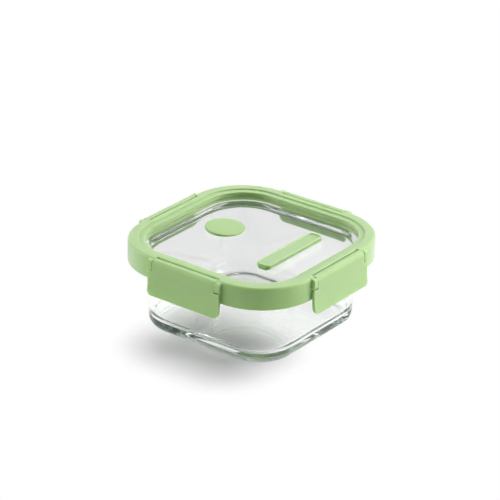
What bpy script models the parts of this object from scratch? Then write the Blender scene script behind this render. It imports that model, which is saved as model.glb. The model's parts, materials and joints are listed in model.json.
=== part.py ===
"""Square glass food container with a framed window lid held down by four hinged clips.

One object per piece, in metres, +Z up. The origin is the centre of the bowl's flat bottom.
The front clip faces -Y and the right clip faces +X.
"""
import math

import bmesh
import bpy
from mathutils import Matrix, Vector

MM = 0.001

# Outlines: every rounded square is the same straight square grown by its corner radius
STRAIGHT_HALF = 32.4 * MM
CORNER_STEPS = 12

# Clearances
FIT_GAP = 0.3 * MM
SEAT_GAP = 0.15 * MM
HINGE_GAP = 0.2 * MM
RIM_CLEARANCE = 0.4 * MM
CATCH_CLEARANCE = 0.4 * MM
VENT_CLEARANCE = 0.4 * MM
CUT_MARGIN = 2.0 * MM
MERGE_DISTANCE = 0.01 * MM

# Glass bowl
BOWL_HEIGHT = 58.4 * MM
BOWL_HALF = 64.2 * MM
BOWL_DRAFT = 2.5 * MM
BOWL_WALL = 3.8 * MM
BOWL_FLOOR = 6.0 * MM
FOOT_ROUND = 7.0 * MM
INNER_ROUND = 8.0 * MM
RIM_REACH = 8.6 * MM
RIM_DEPTH = 4.5 * MM
RIM_ROUND = 1.2 * MM

# Lid frame
FRAME_HEIGHT = 17.0 * MM
SKIRT_CLEARANCE = 2.0 * MM
SKIRT_WALL = 2.0 * MM
FRAME_BEAM = 5.6 * MM
BEAM_STAND = 0.8 * MM
CHANNEL_WIDTH = 3.8 * MM
CHANNEL_COVER = 2.2 * MM
GROOVE_WALL = 1.25 * MM
LEDGE = 2.2 * MM
LIP_WIDTH = 4.6 * MM
LIP_DROP = 1.1 * MM
LIP_ROUND = 0.9 * MM
EDGE_ROUND = 2.0 * MM

# Clear window in the frame
WINDOW_DROP = 4.4 * MM
WINDOW_THICK = 2.5 * MM
WINDOW_BITE = 1.6 * MM

# Silicone seal in the frame's channel
SEAL_LIP_WIDTH = 1.8 * MM
SEAL_LIP_HEIGHT = 1.9 * MM

# Clips and the ears that carry them
CLIP_LENGTH = 64.0 * MM
CLIP_GAP = 0.9 * MM
CLIP_PLATE = 2.3 * MM
CLIP_DROP = 24.4 * MM
CLIP_FLARE = 1.3 * MM
FLARE_LENGTH = 14.0 * MM
CLIP_CORNER = 4.0 * MM
BARREL_RADIUS = 2.8 * MM
BARREL_SINK = 0.3 * MM
BARREL_CORNER = 0.6 * MM
EAR_WIDTH = 3.5 * MM
EAR_ABOVE = 2.5 * MM
EAR_BELOW = 5.2 * MM
EAR_ROUND = 1.5 * MM
EAR_GAP = 0.4 * MM
EAR_SKIN = 0.9 * MM
PIN_RADIUS = 1.1 * MM
CATCH_LENGTH = 40.0 * MM
CATCH_HEIGHT = 3.2 * MM
NOTCH_GAP = 0.6 * MM

# Round vent plug
PLUG_X = -26.5 * MM
PLUG_Y = 2.3 * MM
PLUG_RADIUS = 15.0 * MM
PLUG_CAP = 2.0 * MM
PLUG_CROWN = 0.1 * MM
PLUG_SLOPE = 15.0
PLUG_LEAN = 0.55
PLUG_LEAN_TURN = 217.0
PLUG_STEM_RADIUS = 7.0 * MM
PLUG_STEM_BELOW = 1.8 * MM

# Vent lever, with its hinge near its back end
LEVER_X = 36.0 * MM
LEVER_HINGE_Y = 28.5 * MM
LEVER_REACH = 64.0 * MM
LEVER_TAIL = 2.5 * MM
LEVER_WIDTH = 12.0 * MM
LEVER_SIDE = 2.3 * MM
LEVER_CORNER = 3.5 * MM
TAIL_CORNER = 4.5 * MM
LEVER_RIM = 1.5 * MM
LEVER_ROOF = 0.45 * MM
DISH_DEPTH = 0.9 * MM
DISH_FRONT_DEPTH = 0.3 * MM
TAIL_EDGE = 1.0 * MM
EYE_WALL = 0.3 * MM
LUG_WIDTH = 3.6 * MM
LUG_WALL = 0.4 * MM
LEVER_PIN_RADIUS = 0.7 * MM
LEVER_PIN_INSET = 0.4 * MM

# Silicone pad that closes the vent hole under the lever
PAD_INSET = 9.5 * MM
PAD_COVER = 0.6 * MM
PAD_HEIGHT = 1.5 * MM
PAD_WALL = 0.65 * MM
NUB_RADIUS = 1.4 * MM
NUB_LENGTH = 1.4 * MM

# Places that follow from the sizes above
RIM_HALF = BOWL_HALF + RIM_REACH
RIM_UNDERSIDE = BOWL_HEIGHT - RIM_DEPTH
FOOT_HALF = BOWL_HALF - BOWL_DRAFT
FRAME_HALF = RIM_HALF + SKIRT_CLEARANCE + SKIRT_WALL
LEDGE_BOTTOM = BOWL_HEIGHT + RIM_CLEARANCE
WINDOW_BOTTOM = LEDGE_BOTTOM + LEDGE
WINDOW_TOP = WINDOW_BOTTOM + WINDOW_THICK
FRAME_TOP = WINDOW_TOP + WINDOW_DROP
FRAME_BOTTOM = FRAME_TOP - FRAME_HEIGHT
BEAM_BOTTOM = BOWL_HEIGHT + BEAM_STAND
CHANNEL_OUTER = FRAME_HALF - FRAME_BEAM
CHANNEL_INNER = CHANNEL_OUTER - CHANNEL_WIDTH
CHANNEL_ROOF = FRAME_TOP - CHANNEL_COVER
GROOVE_HALF = CHANNEL_INNER - GROOVE_WALL
WINDOW_HALF = GROOVE_HALF - SEAT_GAP
OPENING_HALF = WINDOW_HALF - WINDOW_BITE
CLIP_FACE = FRAME_HALF + CLIP_GAP + CLIP_PLATE
PIVOT_HALF = CLIP_FACE - BARREL_RADIUS
PIVOT_Z = FRAME_TOP - BARREL_SINK - BARREL_RADIUS
BARREL_SQUARE = BARREL_RADIUS - BARREL_CORNER
BARREL_SWING = math.hypot(BARREL_SQUARE, BARREL_SQUARE) + BARREL_CORNER
CLIP_HALF = CLIP_LENGTH / 2
EAR_INNER = CLIP_HALF - EAR_WIDTH
CLIP_NECK = EAR_INNER - EAR_GAP
PIN_END = CLIP_HALF - EAR_SKIN - FIT_GAP
CLIP_SHOULDER = EAR_BELOW + EAR_GAP
CATCH_TOP = RIM_UNDERSIDE - CATCH_CLEARANCE
EYE_RADIUS = LEVER_PIN_RADIUS + HINGE_GAP / 2
LUG_RADIUS = LEVER_PIN_RADIUS + HINGE_GAP + LUG_WALL
LEVER_BOTTOM = -EYE_RADIUS - EYE_WALL
LEVER_HINGE_Z = WINDOW_TOP + FIT_GAP - LEVER_BOTTOM
FORK_ROOM = LUG_RADIUS + FIT_GAP
LEVER_TOP = FORK_ROOM + LEVER_ROOF + DISH_DEPTH
TAIL_SWING = LEVER_HINGE_Z - WINDOW_TOP - HINGE_GAP
TAIL_CURVE = TAIL_CORNER - math.sqrt(LEVER_TAIL * (2 * TAIL_CORNER - LEVER_TAIL))
LEVER_PIN_HALF = LEVER_WIDTH / 2 - TAIL_CURVE - LEVER_PIN_INSET
PAD_RADIUS = NUB_RADIUS + VENT_CLEARANCE + PAD_COVER
PAD_REACH = LEVER_REACH - PAD_INSET
KEEL_HALF = PAD_RADIUS + SEAT_GAP + PAD_WALL

# Each side of the lid, as its name and the turn that takes +Y to the way it faces
SIDES = (("back", 0.0), ("left", 90.0), ("front", 180.0), ("right", 270.0))


def start_scene():
    """Empties the scene and makes the two collections."""
    for item in list(bpy.data.objects):
        bpy.data.objects.remove(item, do_unlink=True)
    made = []
    for name in ("snap_lid_container", "cutters"):
        group = bpy.data.collections.get(name) or bpy.data.collections.new(name)
        if group.name not in bpy.context.scene.collection.children:
            bpy.context.scene.collection.children.link(group)
        made.append(group)
    return made


PARTS, CUTTERS = start_scene()


def material(name, colour, roughness, alpha=1.0, transmission=0.0):
    """A Principled material with one colour, roughness and clearness."""
    made = bpy.data.materials.new(name)
    made.use_nodes = True
    shader = made.node_tree.nodes["Principled BSDF"]
    shader.inputs["Base Color"].default_value = (*colour, 1.0)
    shader.inputs["Roughness"].default_value = roughness
    shader.inputs["Metallic"].default_value = 0.0
    shader.inputs["Alpha"].default_value = alpha
    shader.inputs["Transmission Weight"].default_value = transmission
    made.diffuse_color = (*colour, alpha)
    return made


def green(name):
    return material(name + "_green", (0.44, 0.66, 0.30), 0.42)


def clear(name, colour, alpha):
    return material(name + "_clear", colour, 0.05, alpha, 1.0)


def silicone(name, colour):
    return material(name + "_silicone", colour, 0.55)


def face_out(shape):
    """Turns every face of a closed shape outwards."""
    bmesh.ops.recalc_face_normals(shape, faces=shape.faces)
    if shape.calc_volume(signed=True) < 0.0:
        bmesh.ops.reverse_faces(shape, faces=shape.faces)


def add_part(name, shape, look):
    """Makes a smooth-shaded part from a bmesh."""
    face_out(shape)
    mesh = bpy.data.meshes.new(name)
    shape.to_mesh(mesh)
    shape.free()
    mesh.shade_smooth()
    mesh.set_sharp_from_angle(angle=math.radians(35))
    mesh.materials.append(look)
    made = bpy.data.objects.new(name, mesh)
    PARTS.objects.link(made)
    return made


def add_tool(name, shapes, matrix=None):
    """Makes a hidden cutter or joining body out of one or more closed shapes."""
    mesh = bpy.data.meshes.new(name)
    whole = bmesh.new()
    for shape in shapes:
        face_out(shape)
        shape.to_mesh(mesh)
        shape.free()
        whole.from_mesh(mesh)
    whole.to_mesh(mesh)
    whole.free()
    made = bpy.data.objects.new(name, mesh)
    made.hide_render = True
    made.display_type = "WIRE"
    if matrix is not None:
        made.matrix_world = matrix
    CUTTERS.objects.link(made)
    return made


def combine(target, tool, operation):
    """Joins to, cuts or trims the target with the tool."""
    step = target.modifiers.new(tool.name, "BOOLEAN")
    step.object = tool
    step.operation = operation
    step.solver = "EXACT"


def outline(half, height):
    """Points round a rounded square whose sides keep the same straight run."""
    radius = half - STRAIGHT_HALF
    points = []
    for corner in range(4):
        start = corner * math.pi / 2
        middle = start + math.pi / 4
        centre = Vector((math.cos(middle), math.sin(middle), 0.0)) * STRAIGHT_HALF * math.sqrt(2)
        for step in range(CORNER_STEPS + 1):
            angle = start + math.pi / 2 * step / CORNER_STEPS
            reach = Vector((math.cos(angle), math.sin(angle), 0.0)) * radius
            points.append(centre + reach + Vector((0.0, 0.0, height)))
    return points


def loft(levels, closed):
    """Skins rounded squares, given as half width and height, into a ring or a capped solid."""
    shape = bmesh.new()
    loops = [[shape.verts.new(point) for point in outline(*level)] for level in levels]
    neighbours = list(zip(loops, loops[1:]))
    if closed:
        neighbours.append((loops[-1], loops[0]))
    for first, second in neighbours:
        for index, start in enumerate(first):
            following = (index + 1) % len(first)
            shape.faces.new((start, first[following], second[following], second[index]))
    if not closed:
        shape.faces.new(loops[0])
        shape.faces.new(loops[-1])
    return shape


def arc(centre, radius, first, last, steps):
    """Points on an arc, with its angles in degrees from +X."""
    points = []
    for step in range(steps + 1):
        angle = math.radians(first + (last - first) * step / steps)
        points.append((centre[0] + radius * math.cos(angle), centre[1] + radius * math.sin(angle)))
    return points


def prism(points, axis, low, high):
    """Extrudes a closed outline along X, Y or Z, from low to high.

    The outline is in the other two axes, in the order y z, x z or x y.
    """
    shape = bmesh.new()
    place = {
        "X": lambda a, b: (low, a, b),
        "Y": lambda a, b: (a, low, b),
        "Z": lambda a, b: (a, b, low),
    }[axis]
    run = {"X": Vector((1, 0, 0)), "Y": Vector((0, 1, 0)), "Z": Vector((0, 0, 1))}[axis]
    face = shape.faces.new([shape.verts.new(place(a, b)) for a, b in points])
    grown = bmesh.ops.extrude_face_region(shape, geom=[face])
    moved = [item for item in grown["geom"] if isinstance(item, bmesh.types.BMVert)]
    bmesh.ops.translate(shape, verts=moved, vec=run * (high - low))
    return shape


def block(low, high):
    """A box between two corners."""
    shape = bmesh.new()
    low, high = Vector(low), Vector(high)
    size = high - low
    matrix = Matrix.Translation((low + high) / 2) @ Matrix.Diagonal((*size, 1.0))
    bmesh.ops.create_cube(shape, size=1.0, matrix=matrix)
    return shape


def rod(axis, centre, radius, low, high, sides):
    """A capped cylinder along X or Z, with its other two coordinates in centre."""
    shape = bmesh.new()
    middle = (low + high) / 2
    if axis == "X":
        matrix = Matrix.Translation((middle, *centre)) @ Matrix.Rotation(math.pi / 2, 4, "Y")
    else:
        matrix = Matrix.Translation((*centre, middle))
    bmesh.ops.create_cone(
        shape,
        cap_ends=True,
        segments=sides,
        radius1=radius,
        radius2=radius,
        depth=high - low,
        matrix=matrix,
    )
    return shape


def turned(profile, steps):
    """A turned solid from a profile that runs from the axis at its top down to the axis."""
    shape = bmesh.new()
    verts = [shape.verts.new((radius, 0.0, height)) for radius, height in profile]
    edges = [shape.edges.new(ends) for ends in zip(verts, verts[1:])]
    middle, up = (0.0, 0.0, 0.0), (0.0, 0.0, 1.0)
    bmesh.ops.spin(shape, geom=verts + edges, cent=middle, axis=up, angle=2 * math.pi, steps=steps)
    bmesh.ops.remove_doubles(shape, verts=shape.verts, dist=MERGE_DISTANCE)
    return shape


def side_matrix(turn):
    """Takes a shape made for the back side to the side with the given turn."""
    return Matrix.Rotation(math.radians(turn), 4, "Z")


def bowl_wall(height):
    """Half width of the bowl's drafted outer wall at a height."""
    share = (height - FOOT_ROUND) / (RIM_UNDERSIDE - FOOT_ROUND)
    return FOOT_HALF + (BOWL_HALF - FOOT_HALF) * share


def make_bowl():
    """Pressed glass bowl: thick floor, drafted wall and a rim that reaches out under the lid."""
    foot = (FOOT_HALF - FOOT_ROUND, FOOT_ROUND)
    outside = arc(foot, FOOT_ROUND, -90, 0, 6)
    wall_top = RIM_UNDERSIDE - RIM_ROUND
    outside.append((bowl_wall(wall_top), wall_top))
    rim_low = (RIM_HALF - RIM_ROUND, RIM_UNDERSIDE + RIM_ROUND)
    rim_high = (RIM_HALF - RIM_ROUND, BOWL_HEIGHT - RIM_ROUND)
    outside.append((bowl_wall(wall_top) + RIM_ROUND, RIM_UNDERSIDE))
    outside += arc(rim_low, RIM_ROUND, -90, 0, 3)
    outside += arc(rim_high, RIM_ROUND, 0, 90, 3)
    mouth = bowl_wall(BOWL_HEIGHT) - BOWL_WALL
    inside = arc((mouth + RIM_ROUND, BOWL_HEIGHT - RIM_ROUND), RIM_ROUND, 90, 180, 3)
    turn_height = BOWL_FLOOR + INNER_ROUND
    floor = (bowl_wall(turn_height) - BOWL_WALL - INNER_ROUND, turn_height)
    inside += arc(floor, INNER_ROUND, 0, -90, 6)
    shape = loft(outside + inside, closed=False)
    return add_part("glass_bowl", shape, clear("glass_bowl", (0.80, 0.87, 0.84), 0.35))


def frame_section():
    """Outline of the lid frame's ring, from the bottom of its skirt round and back."""
    top_round = (FRAME_HALF - EDGE_ROUND, FRAME_TOP - EDGE_ROUND)
    lip_top = FRAME_TOP - LIP_DROP
    lip_round = (OPENING_HALF + LIP_ROUND, lip_top - LIP_ROUND)
    section = [(FRAME_HALF, FRAME_BOTTOM)]
    section += arc(top_round, EDGE_ROUND, 0, 90, 5)
    section.append((OPENING_HALF + LIP_WIDTH, FRAME_TOP))
    section.append((OPENING_HALF + LIP_WIDTH, lip_top))
    section += arc(lip_round, LIP_ROUND, 90, 180, 3)
    section.append((OPENING_HALF, WINDOW_TOP + SEAT_GAP))
    section.append((GROOVE_HALF, WINDOW_TOP + SEAT_GAP))
    section.append((GROOVE_HALF, WINDOW_BOTTOM - SEAT_GAP))
    section.append((OPENING_HALF, WINDOW_BOTTOM - SEAT_GAP))
    section.append((OPENING_HALF, LEDGE_BOTTOM))
    section.append((CHANNEL_INNER, LEDGE_BOTTOM))
    section.append((CHANNEL_INNER, CHANNEL_ROOF))
    section.append((CHANNEL_OUTER, CHANNEL_ROOF))
    section.append((CHANNEL_OUTER, BEAM_BOTTOM))
    section.append((FRAME_HALF - SKIRT_WALL, BEAM_BOTTOM))
    section.append((FRAME_HALF - SKIRT_WALL, FRAME_BOTTOM))
    return section


def ear_shape(matrix, side):
    """One ear of a clip's hinge: a round-edged block that stands out of the frame."""
    root = FRAME_HALF - FRAME_BEAM / 2
    low, high = PIVOT_Z - EAR_BELOW, PIVOT_Z + EAR_ABOVE
    outer = CLIP_FACE - EAR_ROUND
    points = [(root, high), (root, low)]
    points += arc((outer, low + EAR_ROUND), EAR_ROUND, -90, 0, 5)
    points += arc((outer, high - EAR_ROUND), EAR_ROUND, 0, 90, 5)
    first, last = sorted((side * EAR_INNER, side * CLIP_HALF))
    shape = prism(points, "X", first, last)
    shape.transform(matrix)
    return shape


def pocket_shape(matrix):
    """Room in the frame for a clip's barrel to turn in, open at the top and outside."""
    room = BARREL_SWING + FIT_GAP
    above = FRAME_TOP + CUT_MARGIN
    beyond = CLIP_FACE + CUT_MARGIN
    points = [(PIVOT_HALF - room, above)]
    points += arc((PIVOT_HALF, PIVOT_Z), room, 180, 270, 8)
    points += [(beyond, PIVOT_Z - room), (beyond, above)]
    end = EAR_INNER - EAR_GAP / 2
    shape = prism(points, "X", -end, end)
    shape.transform(matrix)
    return shape


def notch_shape(matrix):
    """Cut in the skirt that lets a clip's catch through."""
    half = CATCH_LENGTH / 2 + NOTCH_GAP
    low = (-half, RIM_HALF, FRAME_BOTTOM - CUT_MARGIN)
    high = (half, FRAME_HALF + CUT_MARGIN, CATCH_TOP + NOTCH_GAP)
    shape = block(low, high)
    shape.transform(matrix)
    return shape


def pin_hole(matrix, side):
    """Blind hole in an ear for the pin at one end of a clip."""
    first, last = sorted((side * CLIP_NECK, side * (PIN_END + FIT_GAP)))
    shape = rod("X", (PIVOT_HALF, PIVOT_Z), PIN_RADIUS + HINGE_GAP, first, last, 16)
    shape.transform(matrix)
    return shape


def make_frame():
    """Lid frame: ring, skirt and seal channel, with ears, slots and notches for the clips."""
    frame = add_part("lid_frame", loft(frame_section(), closed=True), green("lid_frame"))
    turns = [side_matrix(turn) for name, turn in SIDES]
    ears = [ear_shape(matrix, side) for matrix in turns for side in (-1, 1)]
    holes = [pin_hole(matrix, side) for matrix in turns for side in (-1, 1)]
    pockets = [pocket_shape(matrix) for matrix in turns]
    notches = [notch_shape(matrix) for matrix in turns]
    combine(frame, add_tool("ears", ears), "UNION")
    combine(frame, add_tool("clip_pockets", pockets), "DIFFERENCE")
    combine(frame, add_tool("catch_notches", notches), "DIFFERENCE")
    combine(frame, add_tool("pin_holes", holes), "DIFFERENCE")
    return frame


def make_window():
    """Clear plate held in the frame's groove, with two vent holes and the lever's hinge lug."""
    shape = loft([(WINDOW_HALF, WINDOW_BOTTOM), (WINDOW_HALF, WINDOW_TOP)], closed=False)
    window = add_part("lid_window", shape, clear("lid_window", (0.93, 0.95, 0.95), 0.35))
    lug_foot = WINDOW_TOP - WINDOW_THICK / 2
    points = [(LEVER_HINGE_Y - LUG_RADIUS, lug_foot), (LEVER_HINGE_Y + LUG_RADIUS, lug_foot)]
    points += arc((LEVER_HINGE_Y, LEVER_HINGE_Z), LUG_RADIUS, 0, 180, 8)
    lug = prism(points, "X", LEVER_X - LUG_WIDTH / 2, LEVER_X + LUG_WIDTH / 2)
    combine(window, add_tool("lever_lug", [lug]), "UNION")
    low, high = WINDOW_BOTTOM - WINDOW_THICK, WINDOW_TOP + WINDOW_THICK
    plug_hole = rod("Z", (PLUG_X, PLUG_Y), PLUG_STEM_RADIUS + FIT_GAP, low, high, 40)
    vent_hole = rod("Z", (LEVER_X, LEVER_HINGE_Y - PAD_REACH), NUB_RADIUS + VENT_CLEARANCE, low, high, 20)
    combine(window, add_tool("vent_holes", [plug_hole, vent_hole]), "DIFFERENCE")
    first, last = LEVER_X - LUG_WIDTH, LEVER_X + LUG_WIDTH
    eye = rod("X", (LEVER_HINGE_Y, LEVER_HINGE_Z), LEVER_PIN_RADIUS + HINGE_GAP, first, last, 16)
    combine(window, add_tool("lug_eye", [eye]), "DIFFERENCE")
    return window


def make_seal():
    """Silicone ring in the frame's channel, with a narrow lip that presses on the bowl's rim."""
    inner, outer = CHANNEL_INNER + SEAT_GAP, CHANNEL_OUTER - SEAT_GAP
    middle = (inner + outer) / 2
    foot = BOWL_HEIGHT + SEAT_GAP
    shoulder = foot + SEAL_LIP_HEIGHT
    top = CHANNEL_ROOF - SEAT_GAP
    lip = SEAL_LIP_WIDTH / 2
    section = [(outer, shoulder), (outer, top), (inner, top), (inner, shoulder)]
    section += [(middle - lip, shoulder)]
    section += arc((middle, foot + lip), lip, 180, 360, 6)
    section += [(middle + lip, shoulder)]
    return add_part("lid_seal", loft(section, closed=True), silicone("lid_seal", (0.86, 0.88, 0.86)))


def clip_reach(height):
    """How far a clip's outer face stands out from its pivot, at a height under the pivot."""
    share = max(0.0, 1.0 - (height + CLIP_DROP) / FLARE_LENGTH)
    return BARREL_RADIUS + CLIP_FLARE * share ** 2


def clip_section():
    """Side view of a clip from its pivot, outward and up: a barrel, square to the slot on top, and a plate."""
    steps = 8
    heights = [FLARE_LENGTH * step / steps - CLIP_DROP for step in range(steps + 1)]
    outer = [(clip_reach(height), height) for height in heights]
    inner = [(reach - CLIP_PLATE, height) for reach, height in reversed(outer)]
    meet = BARREL_RADIUS - CLIP_PLATE
    last = 360.0 - math.degrees(math.acos(meet / BARREL_RADIUS))
    barrel = arc((0.0, 0.0), BARREL_RADIUS, 0, 90, 6)
    barrel += arc((-BARREL_SQUARE, BARREL_SQUARE), BARREL_CORNER, 90, 180, 3)
    barrel += arc((0.0, 0.0), BARREL_RADIUS, 180, last, 7)
    return outer + barrel + inner


def clip_outline():
    """Front view of a clip: narrow between the ears and full length below them."""
    above = BARREL_RADIUS + CUT_MARGIN
    low = CLIP_CORNER - CLIP_DROP
    right = arc((CLIP_HALF - CLIP_CORNER, low), CLIP_CORNER, -90, 0, 6)
    right += [(CLIP_HALF, -CLIP_SHOULDER), (CLIP_NECK, -CLIP_SHOULDER), (CLIP_NECK, above)]
    return right + [(-along, height) for along, height in reversed(right)]


def catch_section():
    """Hook on the inside of a clip that closes in under the bowl's rim."""
    tip = RIM_HALF + FIT_GAP - PIVOT_HALF
    top = CATCH_TOP - PIVOT_Z
    bottom = top - CATCH_HEIGHT
    inside = CLIP_PLATE / 2
    section = [(clip_reach(top) - inside, top), (tip, top), (tip, top - CATCH_HEIGHT / 2)]
    return section + [(clip_reach(bottom) - inside, bottom)]


def make_clip(name, turn):
    """One clip with its barrel, end pins and catch, with its origin on its hinge axis."""
    place = side_matrix(turn) @ Matrix.Translation((0.0, PIVOT_HALF, PIVOT_Z))
    beyond = CLIP_HALF + CUT_MARGIN
    clip = add_part(name, prism(clip_section(), "X", -beyond, beyond), green(name))
    clip.matrix_world = place
    reach = BARREL_RADIUS + CLIP_FLARE + CUT_MARGIN
    front = prism(clip_outline(), "Y", -reach, reach)
    combine(clip, add_tool(name + "_outline", [front], place), "INTERSECT")
    half = CATCH_LENGTH / 2
    shapes = [prism(catch_section(), "X", -half, half)]
    for side in (-1, 1):
        first, last = sorted((side * (CLIP_NECK - PIN_RADIUS), side * PIN_END))
        shapes.append(rod("X", (0.0, 0.0), PIN_RADIUS, first, last, 16))
    combine(clip, add_tool(name + "_catch_and_pins", shapes, place), "UNION")
    return clip


def make_plug():
    """Round silicone vent plug: a cap, thicker at one edge, on a stem that fills its hole."""
    top = FIT_GAP + PLUG_CAP
    edge = PLUG_CAP / 2
    stem_end = -WINDOW_THICK - PLUG_STEM_BELOW
    profile = [(0.0, top), (PLUG_RADIUS / 2, top - PLUG_CROWN)]
    profile += arc((PLUG_RADIUS - edge, FIT_GAP + edge), edge, 90.0 - PLUG_SLOPE, -90, 6)
    profile += [(PLUG_STEM_RADIUS, FIT_GAP), (PLUG_STEM_RADIUS, stem_end + edge)]
    profile += [(PLUG_STEM_RADIUS - edge, stem_end), (0.0, stem_end)]
    shape = turned(profile, 40)
    turn = math.radians(PLUG_LEAN_TURN)
    thick_side = Vector((math.cos(turn), math.sin(turn), 0.0)) / PLUG_RADIUS
    for vert in shape.verts:
        above = max(0.0, vert.co.z - FIT_GAP)
        vert.co.z += above * PLUG_LEAN * thick_side.dot(vert.co)
    plug = add_part("vent_plug", shape, silicone("vent_plug", (0.44, 0.66, 0.30)))
    plug.location = (PLUG_X, PLUG_Y, WINDOW_TOP)
    return plug


def lever_outline(inset):
    """Top view of the lever from its hinge, drawn in: a bar with rounded corners."""
    corner = LEVER_CORNER - inset
    right = arc((LEVER_WIDTH / 2 - LEVER_CORNER, LEVER_CORNER - LEVER_REACH), corner, -90, 0, 5)
    tail = (LEVER_WIDTH / 2 - TAIL_CORNER, LEVER_TAIL - TAIL_CORNER)
    right += arc(tail, TAIL_CORNER - inset, 0, 90, 8)
    return right + [(-across, along) for across, along in reversed(right)]


def dish_shape():
    """Shallow trough in the lever's top, deepest towards its hinged end."""
    points = lever_outline(LEVER_RIM)
    shape = prism(points, "Z", LEVER_TOP - DISH_DEPTH, LEVER_TOP + DISH_DEPTH)
    for vert in shape.verts:
        share = max(0.0, -vert.co.y / LEVER_REACH)
        vert.co.z += (DISH_DEPTH - DISH_FRONT_DEPTH) * share
    return shape


def make_lever():
    """Vent lever: a dished bar with a keel, forked over its lug at the hinge."""
    place = Matrix.Translation((LEVER_X, LEVER_HINGE_Y, LEVER_HINGE_Z))
    half = LEVER_WIDTH / 2
    side = LEVER_TOP - LEVER_SIDE
    section = [(half, LEVER_TOP), (-half, LEVER_TOP), (-half, side), (-KEEL_HALF, LEVER_BOTTOM)]
    section += [(KEEL_HALF, LEVER_BOTTOM), (half, side)]
    beyond = LEVER_TAIL + CUT_MARGIN
    bar = prism(section, "Y", -LEVER_REACH - CUT_MARGIN, beyond)
    lever = add_part("vent_lever", bar, green("vent_lever"))
    lever.matrix_world = place
    above, below = LEVER_TOP + CUT_MARGIN, LEVER_BOTTOM - CUT_MARGIN
    plan = prism(lever_outline(0.0), "Z", below, above)
    combine(lever, add_tool("lever_plan", [plan], place), "INTERSECT")
    combine(lever, add_tool("lever_dish", [dish_shape()], place), "DIFFERENCE")
    tail = LEVER_TOP - TAIL_EDGE
    swing = arc((0.0, 0.0), TAIL_SWING, -90, 0, 5)
    swing += [(LEVER_TAIL, tail), (beyond, tail), (beyond, below), (0.0, below)]
    combine(lever, add_tool("lever_tail", [prism(swing, "X", -half, half)], place), "DIFFERENCE")
    gap_half = LUG_WIDTH / 2 + FIT_GAP
    fork = block((-gap_half, -FORK_ROOM, below), (gap_half, beyond, FORK_ROOM))
    combine(lever, add_tool("lever_fork", [fork], place), "DIFFERENCE")
    eye = rod("X", (0.0, 0.0), EYE_RADIUS, -half, half, 16)
    seat_top = LEVER_BOTTOM + PAD_HEIGHT
    seat = rod("Z", (0.0, -PAD_REACH), PAD_RADIUS + SEAT_GAP, below, seat_top, 24)
    combine(lever, add_tool("lever_bores", [eye, seat], place), "DIFFERENCE")
    return lever


def make_lever_pin():
    """Pin through the lever's fork and the window's lug."""
    shape = rod("X", (0.0, 0.0), LEVER_PIN_RADIUS, -LEVER_PIN_HALF, LEVER_PIN_HALF, 16)
    look = material("lever_pin_steel", (0.62, 0.63, 0.64), 0.3)
    look.node_tree.nodes["Principled BSDF"].inputs["Metallic"].default_value = 1.0
    pin = add_part("lever_pin", shape, look)
    pin.location = (LEVER_X, LEVER_HINGE_Y, LEVER_HINGE_Z)
    return pin


def make_pad():
    """Silicone pad in the lever's keel, with a nub that closes the vent hole."""
    top = LEVER_BOTTOM + PAD_HEIGHT - SEAT_GAP
    foot = LEVER_BOTTOM - SEAT_GAP
    profile = [(0.0, top), (PAD_RADIUS, top), (PAD_RADIUS, foot), (NUB_RADIUS, foot)]
    profile += [(NUB_RADIUS, foot - NUB_LENGTH), (0.0, foot - NUB_LENGTH)]
    pad = add_part("vent_pad", turned(profile, 20), silicone("vent_pad", (0.86, 0.88, 0.86)))
    pad.location = (LEVER_X, LEVER_HINGE_Y - PAD_REACH, LEVER_HINGE_Z)
    return pad


make_bowl()
make_frame()
make_window()
make_seal()
for side_name, side_turn in SIDES:
    make_clip("clip_" + side_name, side_turn)
make_plug()
make_lever()
make_lever_pin()
make_pad()
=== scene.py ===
"""Looks of a square glass food container with a framed window lid held down by four hinged clips."""
import json
import math

import bmesh
import bpy
from mathutils import Matrix, Quaternion, Vector


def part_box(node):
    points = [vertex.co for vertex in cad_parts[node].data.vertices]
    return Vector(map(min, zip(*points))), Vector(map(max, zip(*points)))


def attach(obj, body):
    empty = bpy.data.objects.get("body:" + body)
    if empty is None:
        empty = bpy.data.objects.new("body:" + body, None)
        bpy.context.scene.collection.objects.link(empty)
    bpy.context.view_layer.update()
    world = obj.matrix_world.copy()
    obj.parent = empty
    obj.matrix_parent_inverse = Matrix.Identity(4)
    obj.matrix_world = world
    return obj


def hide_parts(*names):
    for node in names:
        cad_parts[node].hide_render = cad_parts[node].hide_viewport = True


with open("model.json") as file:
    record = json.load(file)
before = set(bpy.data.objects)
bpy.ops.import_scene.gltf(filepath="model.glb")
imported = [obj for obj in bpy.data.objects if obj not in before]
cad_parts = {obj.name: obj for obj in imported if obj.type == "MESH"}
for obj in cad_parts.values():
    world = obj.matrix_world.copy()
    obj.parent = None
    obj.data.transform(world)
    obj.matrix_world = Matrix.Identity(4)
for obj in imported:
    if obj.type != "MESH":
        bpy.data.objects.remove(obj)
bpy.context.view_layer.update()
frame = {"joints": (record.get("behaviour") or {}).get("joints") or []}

MM = 0.001

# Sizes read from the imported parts
BOWL_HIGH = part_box("glass_bowl")[1]
FRAME_LOW, FRAME_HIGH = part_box("lid_frame")
PANE_LOW, PANE_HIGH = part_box("lid_window")
SEAL_LOW, SEAL_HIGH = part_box("lid_seal")
CLIP_LOW, CLIP_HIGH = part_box("clip_back")
PLUG_LOW, PLUG_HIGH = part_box("vent_plug")
LEVER_LOW, LEVER_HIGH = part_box("vent_lever")
PIN_LOW, PIN_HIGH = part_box("lever_pin")
PAD_LOW, PAD_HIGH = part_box("vent_pad")
HINGES = {
    joint["name"]: Vector(joint["pos_m"])
    for joint in frame["joints"]
    if joint["type"] == "hinge"
}

# Outlines: every rounded square is the same straight square grown by its corner radius
STRAIGHT_HALF = 32.4 * MM

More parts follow.
